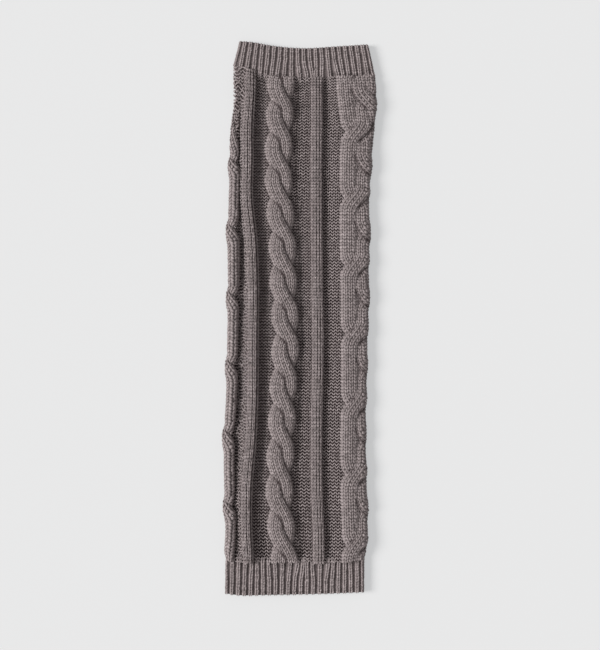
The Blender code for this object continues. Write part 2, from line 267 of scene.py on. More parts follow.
def charted(wale, along):
    """The chart's values at any wale and height, blended from the four places round it."""
    row = np.clip((along - HEIGHTS[0]) / ROW_STEP, 0, len(HEIGHTS) - 1.001)
    column = (wale % WALES_ROUND) / WALE_STEP
    i, j = row.astype(int), column.astype(int)
    u, v = (row - i)[..., None], (column - j)[..., None]
    j, k = j % CLOTH.shape[1], (j + 1) % CLOTH.shape[1]
    below = CLOTH[i, j] * (1 - v) + CLOTH[i, k] * v
    above = CLOTH[i + 1, j] * (1 - v) + CLOTH[i + 1, k] * v
    return below * (1 - u) + above * u


def pressed(z):
    """Heights off the floor, with all that would lie under 1 mm squeezed in above the floor."""
    return np.where(z < 1, np.exp(np.minimum(z, 1) - 1), z)


def on_cloth(wale, along, relief, out):
    """Points on the body: relief is how far a cable or rib stands out of its ground, and out how
    far a point lies outside that. The underside is sunk and pressed flat by what it lies on."""
    wale, along, relief, out = np.broadcast_arrays(wale, along, relief, out)
    x, height, z, nx, nz = np.moveaxis(charted(wale, along), -1, 0)
    near = np.minimum(along - BODY_LOW, BODY_HIGH - along) / RELIEF_BLEND
    share = RELIEF_AT_JOIN + (1 - RELIEF_AT_JOIN) * ease(near)
    face = ease(z / FOLD_RADIUS - BACK_BELOW)
    relief = relief * share * (BACK_RELIEF + (1 - BACK_RELIEF) * face)
    rise = relief - BACK_SINK * (1 - face) + out
    x, z = x + nx * rise, z + nz * rise
    return np.stack([x + X_SHIFT, height + Y_SHIFT, pressed(z)], axis=-1) * MM


# A strand of a cable is a rounded cord of cloth, with half its width, its height, and a crown
# that makes its top flatter the larger it is. Its lane is where it lies between two crossings,
# and its turn is the share of the pitch that it takes to change lanes. Its lift is how far it
# rises over the others, its sink the share of the lift that it drops under them by, and its
# lead how much before the crossing it is highest. What it does at one crossing after another is
# the lane it leaves, the lane it takes, and whether it goes over (1), goes under (-1) or stays
# (0). The strands of a cable start steps apart. groove is how dark the painted shade is in the
# creases beside a strand away from the crossings, and arc how dark the painted shade is along
# the edge of a strand that crosses over.
ROPE_STEPS = ((-1, 1, 1), (1, -1, -1))
PLAIT_STEPS = ((0, 1, 1), (1, 1, 0), (1, 0, -1), (0, -1, 1), (-1, -1, 0), (-1, 0, -1))
ROPE = {
    "half": 7.6, "height": 4.3, "crown": 3.3, "lane": 4.8, "turn": 0.95, "lift": 1.2,
    "sink": 1.0, "lead": 0.2, "strands": (0, 1), "steps": ROPE_STEPS, "wales": 5,
    "groove": 1.0, "arc": 0.0,
}
PLAIT = {
    "half": 7.9, "height": 2.6, "crown": 2.8, "lane": 12.0, "turn": 0.75, "lift": 1.1,
    "sink": 0.2, "lead": 0.0, "strands": (0, 2, 4), "steps": PLAIT_STEPS, "wales": 5,
    "groove": 0.0, "arc": 1.0,
}
FOLD_PLAIT = {
    "half": 4.8, "height": 3.9, "crown": 1.7, "lane": 7.4, "turn": 0.85, "lift": 1.2,
    "sink": 1.0, "lead": 0.0, "strands": (0, 2, 4), "steps": PLAIT_STEPS, "wales": 4,
    "groove": 0.3, "arc": 0.0,
}
RIB_HEIGHT = 2.8
RIB_CROWN = 2.5
RIB_HALF_WALES = 2.1


def crossing_number(along):
    """How many crossings lie above this height. It is whole at a crossing."""
    below = FIRST_CROSSING - np.asarray(along, float)
    root = np.sqrt(CROSSING_PITCH**2 + 2 * PITCH_GROWTH * below)
    return (root - CROSSING_PITCH) / PITCH_GROWTH


def strand_course(cable, strand, along):
    """A strand's centre across the cable at these heights, how its slant widens it, and its
    lift. The slant is how steeply ease() takes it from lane to lane."""
    number = crossing_number(along)
    crossing = np.rint(number).astype(int)
    into = number - crossing
    steps = np.array(cable["steps"], float)
    leaves, takes, over = np.moveaxis(steps[(crossing - strand) % len(steps)], -1, 0)
    at = np.clip(into / cable["turn"] + 0.5, 0, 1)
    centre = cable["lane"] * (leaves + (takes - leaves) * ease(at))
    slant = cable["lane"] * (takes - leaves) * 6 * at * (1 - at) / (cable["turn"] * CROSSING_PITCH)
    lift = cable["lift"] * np.where(over < 0, over * cable["sink"], over)
    return centre, np.hypot(1, slant), lift * np.cos(math.pi * (into + cable["lead"]))


def strand_height(cable, t):
    """The height of a strand at t, which is 0 in its middle and 1 at its edges."""
    return cable["height"] * np.sqrt(1 - np.minimum(np.abs(t), 1) ** cable["crown"])


def cable_relief(cable, across, along):
    """How far the highest of a cable's strands stands out of the ground."""
    relief = np.zeros(np.broadcast(across, along).shape)
    for strand in cable["strands"]:
        centre, widen, lift = strand_course(cable, strand, along)
        t = (across - centre) / (cable["half"] * widen)
        relief = np.maximum(relief, np.where(np.abs(t) < 1, lift + strand_height(cable, t), 0))
    return relief


def rib_relief(wales):
    """How far a rib stands out of the ground, so many wales from its middle."""
    t = np.minimum(np.abs(wales) / RIB_HALF_WALES, 1)
    return RIB_HEIGHT * np.sqrt(1 - t**RIB_CROWN)


def wales_from(wale, middle):
    """How many wales this one lies from a column's middle, the shorter way round the tube."""
    return (wale - middle + WALES_ROUND / 2) % WALES_ROUND - WALES_ROUND / 2


def all_ribs(wale):
    """How far the ribs stand out of the ground at this wale."""
    return np.maximum.reduce([rib_relief(wales_from(wale, (a + b) / 2)) for a, b in RIB_WALES])


def all_cables(wale, along):
    """How far the cables stand out of the ground at this stitch."""
    columns = [(ROPE, middle) for middle in ROPE_MIDDLES]
    columns += [(PLAIT, RIGHT_PLAIT_MIDDLE), (FOLD_PLAIT, LEFT_PLAIT_MIDDLE)]
    return np.maximum.reduce([
        cable_relief(cable, wales_from(wale, middle) * WALE, along) for cable, middle in columns
    ])


# Melange yarn has pale and dark streaks: each has its stretch along a course, how far its
# pattern is moved, and the values of the noise between which it comes in.
STREAKS = (
    ("Pale", (0.35, 1, 1), 0.0, (0.5, 0.66)),
    ("Dark", (0.3, 1, 1), 3.1, (0.34, 0.5)),
)
STREAK_SCALE = 420
MELANGE_AMOUNT = 0.7
FIBRE_SCALE = 2600
PLY_HEIGHT = 0.25
PLY_BUMP = 0.2 * MM
# The dark colour of painted shade, mixed into the yarn where it lies deep between others.
PAINTED_SHADE_COLOUR = (0.05, 0.037, 0.038)
# Darker copies of the yarn's colours, for the cloth that shows between the stitches: painted shade.
SHADED_CLOTH_COLOURS = ((0.18, 0.152, 0.153), (0.24, 0.206, 0.207), (0.12, 0.1, 0.1))


def node_group(name, inputs, outputs):
    """An empty shader group with these sockets, and its input and output nodes."""
    group = bpy.data.node_groups.new(name, "ShaderNodeTree")
    for socket, kind, value in inputs:
        new = group.interface.new_socket(socket, in_out="INPUT", socket_type=kind)
        new.default_value = value
    for socket, kind in outputs:
        group.interface.new_socket(socket, in_out="OUTPUT", socket_type=kind)
    return group, group.nodes.new("NodeGroupInput"), group.nodes.new("NodeGroupOutput")


def maths(group, operation, *values):
    """The output of a new Math node, whose inputs are numbers or other outputs."""
    node = group.nodes.new("ShaderNodeMath")
    node.operation = operation
    for socket, value in zip(node.inputs, values):
        if isinstance(value, (int, float)):
            socket.default_value = value
        else:
            group.links.new(value, socket)
    return node.outputs[0]


def melange_group():
    """The colour of melange yarn: pale and dark fibres spun together, in streaks along a course."""
    group, given, result = node_group(
        "melange",
        [
            ("Colour", "NodeSocketColor", (0.2, 0.2, 0.2, 1)),
            ("Pale", "NodeSocketColor", (0.3, 0.3, 0.3, 1)),
            ("Dark", "NodeSocketColor", (0.1, 0.1, 0.1, 1)),
            ("Amount", "NodeSocketFloat", 0.5),
        ],
        [("Colour", "NodeSocketColor")],
    )
    place = group.nodes.new("ShaderNodeTexCoord")
    colour = given.outputs["Colour"]
    for shade, stretch, shift, (low, high) in STREAKS:
        spread = group.nodes.new("ShaderNodeMapping")
        spread.inputs["Scale"].default_value = stretch
        spread.inputs["Location"].default_value = (0, shift, 0)
        noise = group.nodes.new("ShaderNodeTexNoise")
        noise.inputs["Scale"].default_value = STREAK_SCALE
        noise.inputs["Detail"].default_value = 3
        ramp = group.nodes.new("ShaderNodeMapRange")
        ramp.inputs["From Min"].default_value = low
        ramp.inputs["From Max"].default_value = high
        group.links.new(place.outputs["Object"], spread.inputs["Vector"])
        group.links.new(spread.outputs["Vector"], noise.inputs["Vector"])
        group.links.new(noise.outputs["Fac"], ramp.inputs["Value"])
        share = ramp.outputs["Result"]
        if shade == "Dark":
            share = maths(group, "SUBTRACT", 1.0, share)
        mix = group.nodes.new("ShaderNodeMix")
        mix.data_type = "RGBA"
        amount = maths(group, "MULTIPLY", share, given.outputs["Amount"])
        group.links.new(amount, mix.inputs["Factor"])
        group.links.new(colour, mix.inputs["A"])
        group.links.new(given.outputs[shade], mix.inputs["B"])
        colour = mix.outputs["Result"]
    group.links.new(colour, result.inputs["Colour"])
    return group


def ply_group():
    """The relief of plied yarn: plies that wind round it, from the yarn's own attribute, and fine
    fibres that lie over them."""
    group, given, result = node_group(
        "plies",
        [
            ("Twist", "NodeSocketFloat", 2.6),
            ("Plies", "NodeSocketFloat", 2.0),
            ("Fibres", "NodeSocketFloat", 0.5),
        ],
        [("Height", "NodeSocketFloat")],
    )
    lay = group.nodes.new("ShaderNodeAttribute")
    lay.attribute_name = "lay"
    parts = group.nodes.new("ShaderNodeSeparateXYZ")
    group.links.new(lay.outputs["Vector"], parts.inputs["Vector"])
    turn = maths(group, "ARCTAN2", parts.outputs["Z"], parts.outputs["Y"])
    twists = maths(group, "DIVIDE", parts.outputs["X"], given.outputs["Twist"])
    phase = maths(group, "MULTIPLY", twists, 2 * math.pi)
    wound = maths(group, "MULTIPLY", turn, given.outputs["Plies"])
    wave = maths(group, "COSINE", maths(group, "SUBTRACT", phase, wound))
    place = group.nodes.new("ShaderNodeTexCoord")
    noise = group.nodes.new("ShaderNodeTexNoise")
    noise.inputs["Scale"].default_value = FIBRE_SCALE
    noise.inputs["Detail"].default_value = 2
    group.links.new(place.outputs["Object"], noise.inputs["Vector"])
    fibres = maths(group, "MULTIPLY", noise.outputs["Fac"], given.outputs["Fibres"])
    height = maths(group, "ADD", maths(group, "MULTIPLY", wave, PLY_HEIGHT), fibres)
    group.links.new(height, result.inputs["Height"])
    return group


MELANGE = melange_group()
PLIES = ply_group()


def yarn_material(name, colour, pale, dark, sheen):
    """Yarn with painted shade: it is mixed towards a dark colour where a point attribute says
    that it lies deep between others.
    """
    material = bpy.data.materials.new(name)
    material.use_nodes = True
    tree = material.node_tree
    shader = tree.nodes["Principled BSDF"]
    shader.inputs["Roughness"].default_value = 0.95
    shader.inputs["Specular IOR Level"].default_value = 0.15
    shader.inputs["Sheen Weight"].default_value = sheen
    shader.inputs["Sheen Roughness"].default_value = 0.6
    shader.inputs["Sheen Tint"].default_value = (*pale, 1)
    fibre = tree.nodes.new("ShaderNodeGroup")
    fibre.node_tree = MELANGE
    for socket, value in (("Colour", colour), ("Pale", pale), ("Dark", dark)):
        fibre.inputs[socket].default_value = (*value, 1)
    fibre.inputs["Amount"].default_value = MELANGE_AMOUNT
    # Painted shade: a point attribute mixes the yarn towards the dark colour.
    painted_shade = tree.nodes.new("ShaderNodeAttribute")
    painted_shade.attribute_name = "painted_shade"
    mix = tree.nodes.new("ShaderNodeMix")
    mix.data_type = "RGBA"
    mix.inputs["B"].default_value = (*PAINTED_SHADE_COLOUR, 1)
    tree.links.new(painted_shade.outputs["Fac"], mix.inputs["Factor"])
    tree.links.new(fibre.outputs["Colour"], mix.inputs["A"])
    tree.links.new(mix.outputs["Result"], shader.inputs["Base Color"])
    plies = tree.nodes.new("ShaderNodeGroup")
    plies.node_tree = PLIES
    bump = tree.nodes.new("ShaderNodeBump")
    bump.inputs["Strength"].default_value = 0.5
    bump.inputs["Distance"].default_value = PLY_BUMP
    tree.links.new(plies.outputs["Height"], bump.inputs["Height"])
    tree.links.new(bump.outputs["Normal"], shader.inputs["Normal"])
    return material


# The cloth behind the stitches is the yarn in darker colours and without sheen: painted shade.
SHADED_CLOTH = yarn_material("cloth_painted_shade", *SHADED_CLOTH_COLOURS, sheen=0.0)


def finished(piece, material):
    """Gives a piece its yarn and has it ride with the garment."""
    piece.data.materials.append(material)
    piece.data.shade_smooth()
    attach(piece, "root")
    return piece


SEAM_WIDTH = 1e-7


def tube_wall(name, around, outer_rows, inner_rows, shape):
    """A closed wall of cloth, open at both ends of its tube: its rows run up the outside and back
    down the inside. shape gives the points, and how much painted shade they get, for a place
    round it, a share of the length and the layer, 0 outside and 1 inside."""
    mesh = bmesh.new()
    rows = outer_rows + inner_rows + 2
    bmesh.ops.create_grid(mesh, x_segments=around, y_segments=rows, size=1.0)
    data = bpy.data.meshes.new(name)
    mesh.to_mesh(data)
    co = np.zeros(len(data.vertices) * 3)
    data.vertices.foreach_get("co", co)
    co = co.reshape(-1, 3)
    turn = np.rint((co[:, 0] + 1) / 2 * around) / around
    row = np.rint((co[:, 1] + 1) / 2 * rows)
    layer = (row > outer_rows) & (row < rows)
    up = np.where(row == rows, 0, row / outer_rows)
    share = np.where(layer, (rows - 1 - row) / inner_rows, up)
    points, painted_shade = shape(turn, share, layer.astype(float))
    data.vertices.foreach_set("co", points.reshape(-1))
    # The point attribute that carries the painted shade.
    deep = data.attributes.new("painted_shade", "FLOAT", "POINT")
    deep.data.foreach_set("value", painted_shade.astype(np.float32))
    mesh.clear()
    mesh.from_mesh(data)
    bmesh.ops.remove_doubles(mesh, verts=mesh.verts, dist=SEAM_WIDTH)
    bmesh.ops.recalc_face_normals(mesh, faces=mesh.faces)
    mesh.to_mesh(data)
    mesh.free()
    piece = bpy.data.objects.new(name, data)
    bpy.context.collection.objects.link(piece)
    return piece


# How deep the cloth lies below the outside of the stitches. It is shallower on the slope that
# runs down from the left rib, at SLOPE_TOP, so many wales to each side.
PURL_DEPTH = 1.4
SLOPE_DEPTH = 0.8
SLOPE_TOP = -13.5
SLOPE_WALES = 2.5
RIB_DEPTH = 1.0
CABLE_DEPTH = 0.3
BODY_AROUND = 230
BODY_ROWS = 190
LINING_ROWS = 12


def body_wall(turn, share, layer):
    """The outside of the cloth behind the stitches, with painted shade that is darker the deeper
    it lies, and the plain inside of the tube.
    """
    wale = turn * WALES_ROUND % WALES_ROUND
    along = BODY_LOW + (BODY_HIGH - BODY_LOW) * share
    ribs, cables = all_ribs(wale), all_cables(wale, along)
    slope = np.exp(-((wales_from(wale, SLOPE_TOP) / SLOPE_WALES) ** 2))
    depth = PURL_DEPTH - (PURL_DEPTH - SLOPE_DEPTH) * slope
    depth -= (depth - RIB_DEPTH) * ease(ribs)
    depth -= (depth - CABLE_DEPTH) * ease(cables)
    outside = on_cloth(wale, along, np.maximum(ribs, cables), -depth)
    x, height, z, _, _ = charted(wale, along).T
    left, right = x.min() + FOLD_RADIUS, x.max() - FOLD_RADIUS
    middle = np.clip(x, left, right)
    inner_z = np.where(z > FOLD_RADIUS, np.maximum(z - WALL, WALL + LEAST_SLIT), WALL)
    inner_z = np.where(x != middle, FOLD_RADIUS + (z - FOLD_RADIUS) * SLIT / FACE, inner_z)
    inner_x = middle + (x - middle) * SLIT / FACE
    inside = np.stack([inner_x + X_SHIFT, height + Y_SHIFT, inner_z], axis=1) * MM
    # Painted shade: the deeper the outside lies behind the stitches, the darker it is.
    painted_shade = np.where(layer > 0, 0, (depth - CABLE_DEPTH) / (PURL_DEPTH - CABLE_DEPTH))
    return np.where(layer[:, None] > 0, inside, outside), painted_shade


body = finished(
    tube_wall("body_cloth", BODY_AROUND, BODY_ROWS, LINING_ROWS, body_wall), SHADED_CLOTH
)
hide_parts("leg_tube")


# ---------------------------------------------------------------------------------------------
# The purl ground, of the same yarn and part of the same cloth: on this side each course shows as
# one yarn that waves up and down through the wales, in the bands between the raised columns.
# ---------------------------------------------------------------------------------------------

COURSES_A_CROSSING = 11
FIRST_COURSE = math.ceil(crossing_number(BODY_HIGH) * COURSES_A_CROSSING)
LAST_COURSE = math.floor(crossing_number(BODY_LOW) * COURSES_A_CROSSING)
COURSES = np.arange(FIRST_COURSE, LAST_COURSE + 1)
YARN_COLOURS = ((0.277, 0.240, 0.241), (0.42, 0.37, 0.372), (0.156, 0.135, 0.135))
YARN = yarn_material("worsted_yarn", *YARN_COLOURS, sheen=0.15)

# A wave is so high and lies so far out, with its turns bent inwards, and both are a little loose.
PURL_WAVE = 1.1
PURL_OUT = 0.1
PURL_BEND = 0.3
PURL_LOOSE = (0.2, 0.13)
PURL_RINGS = 4
DRIFT_WAVES = ((0.9, 0.37), (1.7, -0.61))

# The lengths of yarn: where their poles are, how sharply their ends taper, how far apart the two
# places are that give their direction, and how far up their sides the painted shade on their
# lower side reaches.
POLE = 1e-4
TAPER = 0.7
SHARE_STEP = 0.02
LOWER_SHADE_REACH = 0.4


def course_height(course):
    """The height of a course, counted down from the first crossing."""
    number = np.asarray(course, float) / COURSES_A_CROSSING
    return FIRST_CROSSING - CROSSING_PITCH * number - PITCH_GROWTH / 2 * number**2


def lengths_of_yarn(
    name, sides, rings, count, path, surface, radius, flat, taper, under=0, crease=None
):
    """Many closed lengths of yarn in one mesh. path gives the across place in millimetres, the
    height, the relief and the outward place of each length, for a share of its length from 0 to
    1, and surface puts them on the garment. flat is how thick the yarn is for its width, under
    how dark the painted shade on its lower side is, and crease how much painted shade these
    places get in creases."""
    mesh = bmesh.new()
    bmesh.ops.create_uvsphere(mesh, u_segments=sides, v_segments=rings, radius=1.0)
    data = bpy.data.meshes.new(name)
    mesh.to_mesh(data)
    mesh.free()
    piece = bpy.data.objects.new(name, data)
    bpy.context.collection.objects.link(piece)
    array = piece.modifiers.new("many", "ARRAY")
    array.count = count
    array.use_relative_offset = False
    array.use_constant_offset = True
    array.constant_offset_displace = (0, 0, 0)
    bpy.context.view_layer.update()
    evaluated = piece.evaluated_get(bpy.context.evaluated_depsgraph_get())
    many = bpy.data.meshes.new_from_object(evaluated)
    piece.modifiers.clear()
    piece.data = many
    many.name = name
    one = np.array([v.co for v in data.vertices])
    share = (np.arccos(np.clip(-one[:, 2], -1, 1)) / math.pi)[None, :]
    turn = np.arctan2(one[:, 1], one[:, 0])[None, :]
    girth = np.hypot(one[:, 0], one[:, 1])[None, :]
    girth = np.where(girth < POLE, 0, girth if taper else 1)
    girth = np.broadcast_to(girth, share.shape) ** TAPER * radius
    across, along, relief, out = path(share)
    across_a, along_a = path(share - SHARE_STEP)[:2]
    across_b, along_b = path(share + SHARE_STEP)[:2]
    run = np.hypot(across_b - across_a, along_b - along_a)
    across = across - girth * np.cos(turn) * (along_b - along_a) / run
    along = along + girth * np.cos(turn) * (across_b - across_a) / run
    points = surface(across, along, relief, out + girth * np.sin(turn) * flat)
    many.vertices.foreach_set("co", points.reshape(-1))
    run = np.broadcast_to(run, (count, share.shape[1]))
    lay = np.zeros((count, share.shape[1], 3))
    lay[..., 0] = share * run / (2 * SHARE_STEP)
    lay[..., 1], lay[..., 2] = np.cos(turn), np.sin(turn)
    attribute = many.attributes.new("lay", "FLOAT_VECTOR", "POINT")
    attribute.data.foreach_set("vector", lay.reshape(-1))
    # Painted shade on each yarn's lower side, and in creases.
    deep = under * np.clip(LOWER_SHADE_REACH - np.sin(turn), 0, 1) * np.ones(across.shape)
    if crease:
        deep = np.maximum(deep, crease(across, along, relief))
    attribute = many.attributes.new("painted_shade", "FLOAT", "POINT")
    attribute.data.foreach_set("value", deep.reshape(-1))
    many.update()
    return piece


def body_surface(across, along, relief, out):
    """Points on the body for a place across in millimetres."""
    return on_cloth(across / WALE, along, relief, out)


def purl_band(name, first, last, sides, yarn, stitch=1.0, drift=0.08):
    """The waves of a band of purl stitches, each so many wales wide. They end out of sight, under
    the columns beside it, and drift from course to course."""
    wales = last - first
    courses = COURSES[:, None]
    rings = round(wales * PURL_RINGS)
    loose = np.random.default_rng(len(name)).normal(0, 1, (2, len(COURSES), rings + 1))

    def path(share):
        wale = first + wales * share + 0 * courses
        lag = drift * sum(np.sin(wale * a + courses * b) for a, b in DRIFT_WAVES)
        wave = np.cos(2 * math.pi * (wale + lag) / stitch)
        knot = np.clip(np.rint(share * rings).astype(int), 0, rings)[0]
        along = course_height(courses) + (PURL_WAVE + PURL_LOOSE[0] * loose[0][:, knot]) * wave
        out = PURL_OUT - PURL_BEND * (wave**2 - 0.5) + PURL_LOOSE[1] * loose[1][:, knot]
        return wale * WALE, along, 0.0, out

    return lengths_of_yarn(name, sides, rings, len(COURSES), path, body_surface, yarn, 1.0, False)


# Each band's first and last wale, the sides and the radius of its yarn, and for the pulled
# stitches of the slope beside the left rib how wide they are and how much they drift.
PURL_BANDS = (
    ("purl_slope", -18.5, -11.5, 5, 0.58, 1.6, 0.6),
    ("purl_left", -8.5, -2.5, 5, 0.45),
    ("purl_right", 2.5, 8.5, 5, 0.47),
    ("purl_outer", 11.5, 18.5, 5, 0.48),
    ("purl_back_a", 28.5, 34.5, 4, 0.48),
    ("purl_back_b", 37.5, 42.5, 4, 0.48),
    ("purl_back_c", 49.5, 54.5, 4, 0.48),
    ("purl_back_d", 57.5, 67.5, 4, 0.48),
)
on_body = [finished(purl_band(*band), YARN) for band in PURL_BANDS]


# ---------------------------------------------------------------------------------------------
# The ribs: four wales of knit stitches on a low ridge, of the same yarn and knitted in one with
# the ground. Each stitch shows its two legs, which lean apart upwards and tuck under the next.
# ---------------------------------------------------------------------------------------------

# A leg is so thick, so flat for its width, spread from its wale's middle and leant by shares of a
# wale. It reaches so many courses up and down, drops by crown to the sides of its wale, and has
# painted shade on its lower side by under.
RIB_LEG = {
    "yarn": 0.66, "flat": 0.9, "spread": 0.2, "lean": 0.1, "reach": 0.72,
    "crown": 4.0, "under": 0,
}
LEG_OUT = -0.1
LEG_TUCK = 0.4
LEG_BOW = 0.15
LOOSE_ALONG = 0.05
LOOSE_ACROSS = 0.02
LOOSE_OUT = 0.09

# Where the four stitches lie across a rib, drawn in two by two, and how finely each rib's legs
# are made: their sides and their rings.
RIB_STITCHES = (0.6, 1.42, 2.4, 3.42)
RIB_MIDDLE = 2
RIBS = (("rib_left", 5, 4), ("rib_right", 5, 4), ("rib_back_a", 4, 3), ("rib_back_b", 4, 3))


def knit_wales(name, wales, sides, rings, leg, place, crease=None):
    """The legs of these knit wales. place turns wales and heights into the across place and the
    relief."""
    wale, course, side = (a.reshape(-1, 1) for a in np.meshgrid(wales, COURSES, (-1, 1)))
    loose = np.random.default_rng(len(name)).normal(0, 1, (3, wale.size, 1))

    def path(share):
        up = 2 * share - 1
        at = course - up * leg["reach"] + LOOSE_ALONG * loose[0]
        along = course_height(at)
        beside = side * (leg["spread"] + leg["lean"] * up)
        across, relief = place(wale + beside + LOOSE_ACROSS * loose[1], along)
        out = LEG_OUT - LEG_TUCK * up - LEG_BOW * up**2 - leg["crown"] * beside**2
        return across, along, relief, out + LOOSE_OUT * loose[2]

    return lengths_of_yarn(
        name, sides, rings, wale.size, path, body_surface,
        leg["yarn"], leg["flat"], True, leg["under"], crease,
    )


def rib(name, first, sides, rings):
    """The knit wales of the rib that starts at this wale."""

    def place(wale, along):
        return (first + wale) * WALE, rib_relief(wale - RIB_MIDDLE)

    return knit_wales(name, RIB_STITCHES, sides, rings, RIB_LEG, place)


for (name, sides, rings), (first, _) in zip(RIBS, RIB_WALES):
    on_body.append(finished(rib(name, first, sides, rings), YARN))


# ---------------------------------------------------------------------------------------------
# The cables, of the same yarn: a rope in the middle of each side and a plait on each fold. Each
# strand is four or five wales of knit stitches, knitted in one with the ground and carried over
# or under the others at a crossing.
# ---------------------------------------------------------------------------------------------

ROPE_LEG = {
    "yarn": 0.95, "flat": 0.55, "spread": 0.25, "lean": 0.2, "reach": 0.68,
    "crown": 0.5, "under": 0.7,
}
RIGHT_PLAIT_LEG = {
    "yarn": 1.05, "flat": 0.5, "spread": 0.25, "lean": 0.2, "reach": 0.68,
    "crown": 0.2, "under": 0.7,
}
LEFT_PLAIT_LEG = {
    "yarn": 0.84, "flat": 0.8, "spread": 0.25, "lean": 0.19, "reach": 0.68,
    "crown": 0.8, "under": 0.8,
}

# The wales lie closer together towards a strand's edges, as round an arc of twice STRAND_TURN.
# A stitch has painted shade, as in a crease, where another strand lies over it or less than
# CREASE_DEPTH below it, as far out as CREASE_REACH. The painted shade is fully dark where that
# strand slants by CREASE_SLANT, and only by UPPER_CREASE on its upper side. The painted dark arcs
# lie at ARC_PLACE, along its lower edge.
STRAND_TURN = math.radians(74)
STRAND_EDGE = 0.97
CREASE_DEPTH = 1.2
CREASE_REACH = 1.1
CREASE_SLANT = 0.4
UPPER_CREASE = 0.2
ARC_PLACE = 0.92
ARC_WIDTH = 1.7


def strand_of(name, cable, middle, strand, sides, rings, leg):
    """One strand of the cable whose middle is at this wale. It has painted shade, darkest in the
    creases below the strands that cross over, and along the lower edge of its own way over."""

    def place(wale, along):
        centre, widen, lift = strand_course(cable, strand, along)
        t = np.sin((2 * wale / cable["wales"] - 1) * STRAND_TURN) / math.sin(STRAND_TURN)
        across = centre + cable["half"] * widen * t * STRAND_EDGE
        return middle * WALE + across, lift + strand_height(cable, t * STRAND_EDGE)

    # Painted shade in the creases between strands and in arcs along the edges that cross over.
    def crease(across, along, relief):
        shade = np.zeros(across.shape)
        for other in cable["strands"]:
            centre, widen, lift = strand_course(cable, other, along)
            half = cable["half"] * widen
            t = (across - middle * WALE - centre) / half
            slant = strand_course(cable, other, along - 1)[0] - centre
            turning = ease(np.abs(slant) / CREASE_SLANT)
            lower = t * slant < 0
            if other != strand:
                close = ease(1 - (relief - lift - strand_height(cable, t)) / CREASE_DEPTH)
                side = np.where(lower, 1, max(UPPER_CREASE, cable["groove"]))
                dark = close * np.maximum(cable["groove"], turning) * side
                shade = np.maximum(shade, np.where(np.abs(t) < CREASE_REACH, dark, 0))
            arc = turning * ease(1 - np.abs(np.abs(t) - ARC_PLACE) * half / ARC_WIDTH)
            shade = np.maximum(shade, np.where((lift > 0) & lower, cable["arc"] * arc, 0))
        return shade

    stitches = np.arange(cable["wales"]) + 0.5
    return knit_wales(name, stitches, sides, rings, leg, place, crease)


# The cables, with how finely their legs are made: their sides and their rings.
CABLES = (
    ("rope_face", ROPE, ROPE_MIDDLES[0], 5, 4, ROPE_LEG),
    ("rope_back", ROPE, ROPE_MIDDLES[1], 4, 3, ROPE_LEG),
    ("plait_right", PLAIT, RIGHT_PLAIT_MIDDLE, 5, 4, RIGHT_PLAIT_LEG),
    ("plait_left", FOLD_PLAIT, LEFT_PLAIT_MIDDLE, 5, 4, LEFT_PLAIT_LEG),
)
for name, cable, middle, sides, rings, leg in CABLES:
    for number, strand in enumerate(cable["strands"]):
        piece = strand_of(f"{name}_{number + 1}", cable, middle, strand, sides, rings, leg)
        on_body.append(finished(piece, YARN))


# ---------------------------------------------------------------------------------------------
# The cuffs: a short welt in narrow rib at each end, of the same yarn and knitted on to the body,
# one knit wale and one purl wale by turns. The knit wales stand up as cords, and the purl wales
# sink out of sight between them.
# ---------------------------------------------------------------------------------------------

# The cuffs' outer edges are curves like the joins, and the lengths are up the cuffs' middles.
UPPER_EDGE = ((0, 499.0), (0.1, 498.2), (0.25, 495.4), (0.5, 493.4), (0.75, 495.5), (1, 497.8))
LOWER_EDGE = ((0, 0.1), (0.1, -1.3), (0.3, -0.7), (0.6, 0.6), (0.8, 1.8), (1, 3.3))
UPPER_EDGE_SIDES = (-58.0, 59.0)
LOWER_EDGE_SIDES = (HEM_LEFT, 63.0)
UPPER_ENDS = ((UPPER_JOIN, UPPER_JOIN_SIDES), (UPPER_EDGE, UPPER_EDGE_SIDES))
LOWER_ENDS = ((LOWER_EDGE, LOWER_EDGE_SIDES), (LOWER_JOIN, LOWER_JOIN_SIDES))
CUFF_RIBS = 46
FACE_RIBS = 25
CUFF_PITCH = 5.4

# The cloth behind the cords lies so far in, and further in its grooves, which get painted shade,
# less in the upper cuff than in the lower one.
CUFF_CLOTH_OUT = -0.9
CUFF_GROOVE = 0.48
CUFF_SHADES = (0.1, 0.35)
CUFF_STEPS_A_RIB = 6
CUFF_ROWS = 4
CUFF_LINING_ROWS = 1

# The cords run on into the body by a few stitches, which start unevenly, sink out of sight and
# sway from side to side, each with its neighbours.
CUFF_COURSES = 12
CUFF_COURSE = 2.5
CUFF_LEG = 0.88
CUFF_LEG_SIDES = 5
CUFF_LEG_RINGS = 4
CUFF_LEG_SPREAD = 0.165
CUFF_LEG_LEAN = 0.05
CUFF_LEG_REACH = 0.85
CUFF_LEG_OUT = -0.6
CUFF_BEYOND = 2
CUFF_START = 0.7
CUFF_SINK = 0.8
CUFF_SWAY = 0.3
SWAY_TOGETHER = (0.5, 0.7, 0.5)
SWAY_SHARE = 1.5
SWAY_RIBS = 2


